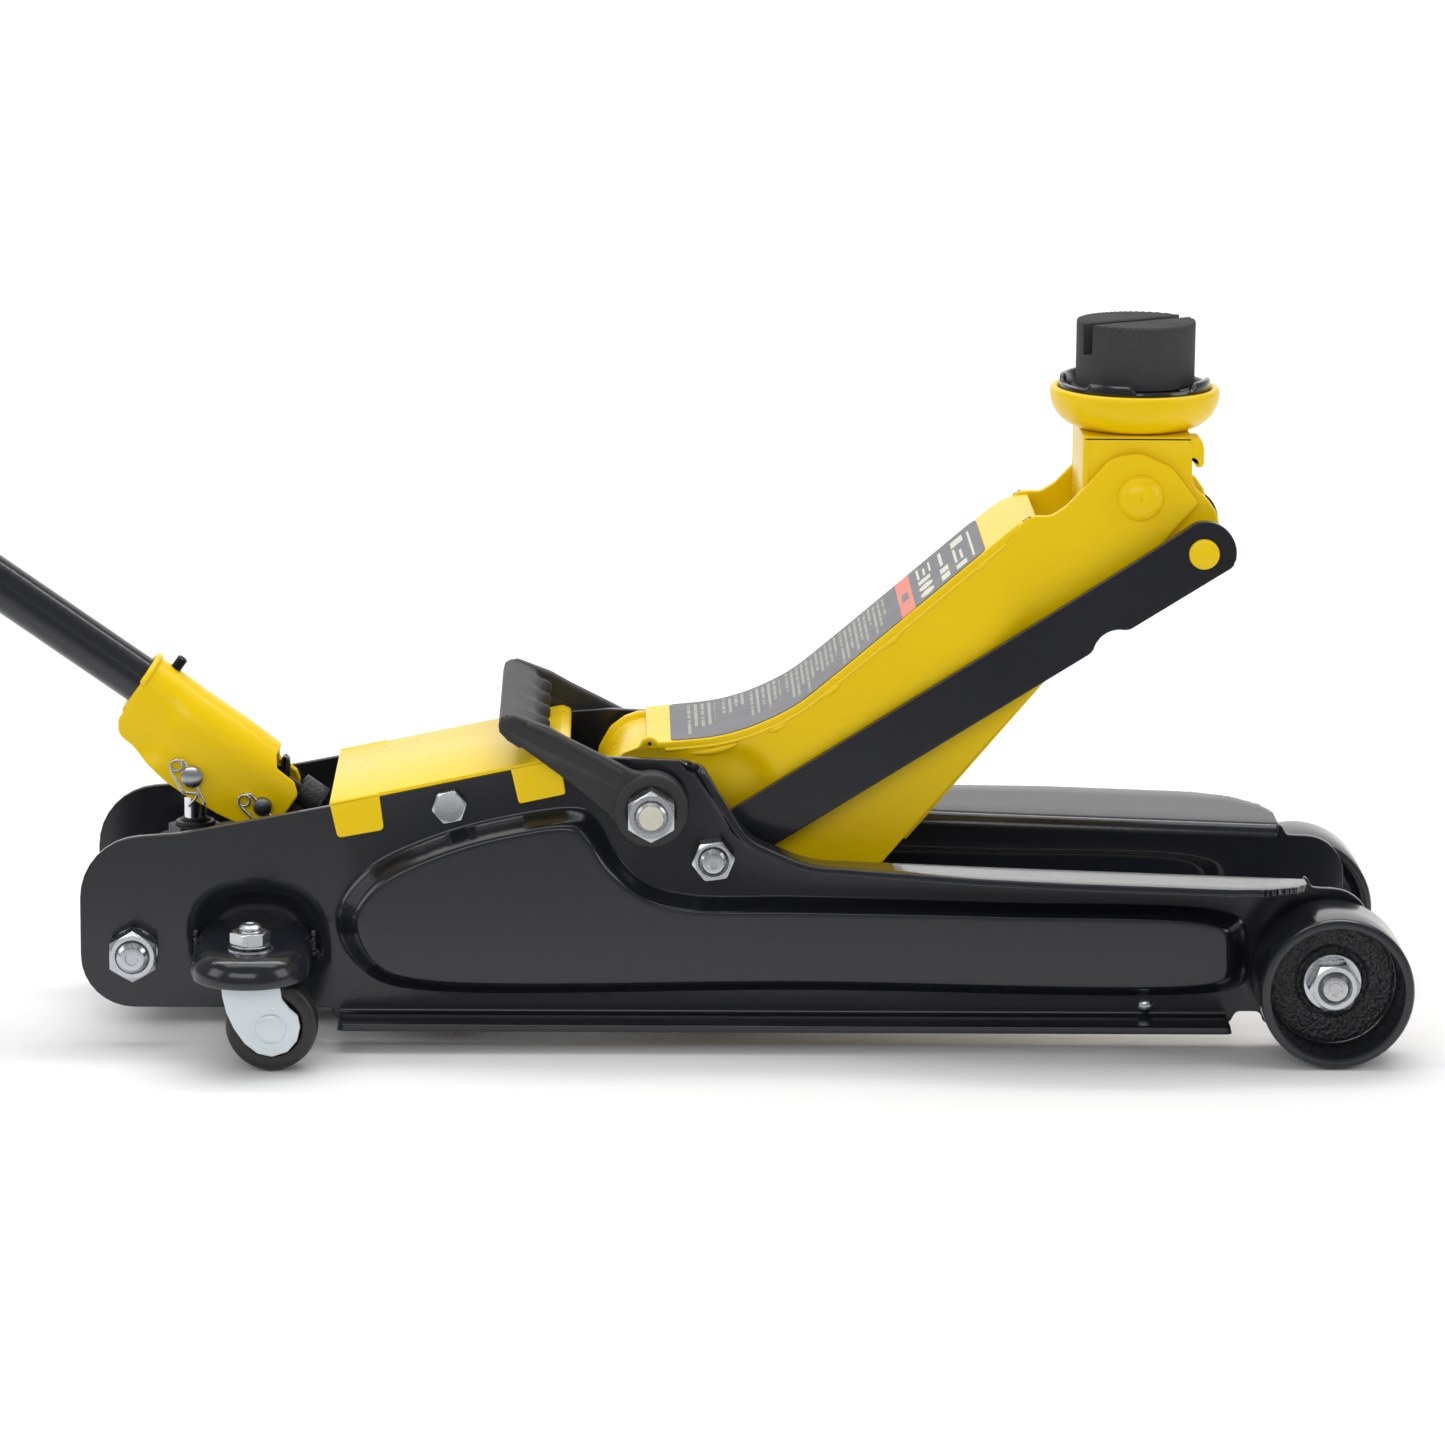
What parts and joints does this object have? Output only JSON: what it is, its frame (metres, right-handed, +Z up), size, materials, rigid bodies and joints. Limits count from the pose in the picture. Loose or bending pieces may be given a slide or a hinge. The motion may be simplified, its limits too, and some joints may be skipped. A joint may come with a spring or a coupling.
{
  "type": "hydraulic floor jack",
  "caption": "Low trolley jack: pressed side frame on wheels and swivel casters, curved lift arm with levelling links, rotating saddle with rubber pad, pump socket and long handle.",
  "frame": {"origin": "centre of the footprint of the whole jack with its handle, on the floor plane", "axes": "+X from the handle towards the lifting saddle and front wheels, +Z up, Y across the jack (axle direction)"},
  "size_m": [1.497, 0.286, 0.7657],
  "materials": {
    "frame_black": "smooth, glossy black enamel",
    "jack_yellow": "glossy yellow enamel",
    "zinc_fastener": "bright zinc plate",
    "machined_steel": "turned steel, lightly oiled",
    "dark_pin": "dark phosphated steel",
    "hard_chrome": "ground hard chrome",
    "spring_steel": "oiled spring wire",
    "cast_unit": "painted casting",
    "caster_zinc": "pale passivated zinc",
    "caster_tread": "hard black plastic wheel",
    "saddle_black": "black enamel over a casting",
    "pad_rubber": "matt moulded rubber",
    "grip_rubber": "matt moulded grip",
    "carry_plastic": "textured moulded plastic",
    "black_oxide": "black oxide",
    "label_film": "printed film"
  },
  "bodies": {
    "base": {"side_plate_near": "frame_black", "side_plate_far": "frame_black", "caster_bracket_near": "frame_black", "caster_bracket_far": "frame_black", "caster_stems": "zinc_fastener", "caster_nuts": "zinc_fastener", "rear_tie_rod": "zinc_fastener", "rear_tie_sleeves": "machined_steel", "front_tie_bar": "machined_steel", "tie_bolts": "zinc_fastener", "main_pivot_shaft": "machined_steel", "m16_nuts": "zinc_fastener", "link_pivot_bolts": "zinc_fastener", "link_pivot_nuts": "zinc_fastener", "front_axle": "machined_steel", "front_axle_washers": "zinc_fastener", "flange_rivets": "zinc_fastener", "cover_plate": "jack_yellow", "pump_block": "cast_unit", "pump_barrel": "machined_steel", "hydraulic_cylinder": "cast_unit", "cylinder_gland": "machined_steel", "filler_plug": "pad_rubber", "spring_anchor_rod": "machined_steel", "return_spring_near": "spring_steel", "return_spring_far": "spring_steel", "socket_pivot_pin": "dark_pin", "pivot_clips": "zinc_fastener", "plunger_spring": "spring_steel"},
    "front_wheel_near": {"front_wheel_near": "frame_black"},
    "front_wheel_far": {"front_wheel_far": "frame_black"},
    "caster_near": {"caster_yoke_near": "caster_zinc"},
    "caster_far": {"caster_yoke_far": "caster_zinc"},
    "caster_wheel_near": {"caster_wheel_near": "caster_tread"},
    "caster_wheel_far": {"caster_wheel_far": "caster_tread"},
    "arm": {"lift_arm": "jack_yellow", "lever_pin": "machined_steel", "saddle_pivot_pin": "jack_yellow", "arm_label": "label_film"},
    "links": {"link_bar_near": "frame_black", "link_bar_far": "frame_black"},
    "bracket": {"saddle_bracket": "jack_yellow", "saddle_cup": "jack_yellow", "link_front_pin": "jack_yellow"},
    "saddle": {"saddle_dish": "saddle_black", "saddle_pad": "pad_rubber"},
    "ram": {"ram_rod": "hard_chrome", "ram_head": "machined_steel"},
    "plunger": {"pump_plunger": "hard_chrome"},
    "valve": {"release_valve": "dark_pin"},
    "socket": {"handle_socket": "jack_yellow", "plunger_pin": "zinc_fastener", "plunger_roller": "machined_steel", "plunger_clips": "zinc_fastener", "set_screw": "black_oxide"},
    "handle": {"handle_lower": "frame_black", "handle_upper": "frame_black", "handle_grip": "grip_rubber"},
    "carry": {"carry_handle": "carry_plastic"}
  },
  "joints": [
    {"name": "lift_arm_pivot", "type": "hinge", "parent": "base", "child": "arm", "pos_m": [0.34826, 0, 0.1285], "axis": [0, -1, 0], "range_deg": [-47, 32], "deforming": ["return_spring_near", "return_spring_far"]},
    {"name": "link_bar_pivot", "type": "hinge", "parent": "base", "child": "links", "pos_m": [0.38126, 0, 0.101], "axis": [0, -1, 0], "range_deg": [-47.5, 32.5]},
    {"name": "saddle_level_pivot", "type": "hinge", "parent": "arm", "child": "bracket", "pos_m": [0.60476, 0, 0.2905], "axis": [0, -1, 0], "range_deg": [-32.5, 47.5]},
    {"name": "saddle_swivel", "type": "hinge", "parent": "bracket", "child": "saddle", "pos_m": [0.60376, 0, 0.33], "axis": [0, 0, 1], "continuous": true},
    {"name": "ram_slide", "type": "slide", "parent": "base", "child": "ram", "axis": [1, 0, 0], "range_m": [-0.0502, 0.0343]},
    {"name": "pump_socket_pivot", "type": "hinge", "parent": "base", "child": "socket", "pos_m": [0.14146, 0, 0.1172], "axis": [0, 1, 0], "range_deg": [0, 35]},
    {"name": "plunger_slide", "type": "slide", "parent": "base", "child": "plunger", "axis": [0, 0, 1], "range_m": [0, 0.019], "deforming": ["plunger_spring"]},
    {"name": "handle_turn", "type": "hinge", "parent": "socket", "child": "handle", "pos_m": [0.15007, 0, 0.12949], "axis": [-0.8192, 0, 0.5736], "range_deg": [-90, 90]},
    {"name": "release_valve_turn", "type": "hinge", "parent": "base", "child": "valve", "pos_m": [0.15007, 0, 0.12949], "axis": [-0.8192, 0, 0.5736], "range_deg": [-90, 90]},
    {"name": "carry_handle_pivot", "type": "hinge", "parent": "base", "child": "carry", "pos_m": [0.34826, 0, 0.1285], "axis": [0, 1, 0], "range_deg": [0, 55]},
    {"name": "front_wheel_near_spin", "type": "hinge", "parent": "base", "child": "front_wheel_near", "pos_m": [0.70796, -0.09, 0.0405], "axis": [0, 1, 0], "continuous": true},
    {"name": "front_wheel_far_spin", "type": "hinge", "parent": "base", "child": "front_wheel_far", "pos_m": [0.70796, 0.09, 0.0405], "axis": [0, 1, 0], "continuous": true},
    {"name": "caster_near_swivel", "type": "hinge", "parent": "base", "child": "caster_near", "pos_m": [0.14026, -0.116, 0.053], "axis": [0, 0, 1], "continuous": true},
    {"name": "caster_far_swivel", "type": "hinge", "parent": "base", "child": "caster_far", "pos_m": [0.14026, 0.116, 0.053], "axis": [0, 0, 1], "continuous": true},
    {"name": "caster_wheel_near_spin", "type": "hinge", "parent": "caster_near", "child": "caster_wheel_near", "pos_m": [0.15126, -0.116, 0.024], "axis": [0, 1, 0], "continuous": true},
    {"name": "caster_wheel_far_spin", "type": "hinge", "parent": "caster_far", "child": "caster_wheel_far", "pos_m": [0.15126, 0.116, 0.024], "axis": [0, 1, 0], "continuous": true}
  ],
  "couplings": [
    {"joint": "link_bar_pivot", "follows": "lift_arm_pivot", "ratio": 1},
    {"joint": "saddle_level_pivot", "follows": "lift_arm_pivot", "ratio": -1},
    {"joint": "ram_slide", "follows": "lift_arm_pivot", "m_per_rad": 0.0608},
    {"joint": "plunger_slide", "follows": "pump_socket_pivot", "m_per_rad": 0.0302},
    {"joint": "release_valve_turn", "follows": "handle_turn", "ratio": 1}
  ]
}
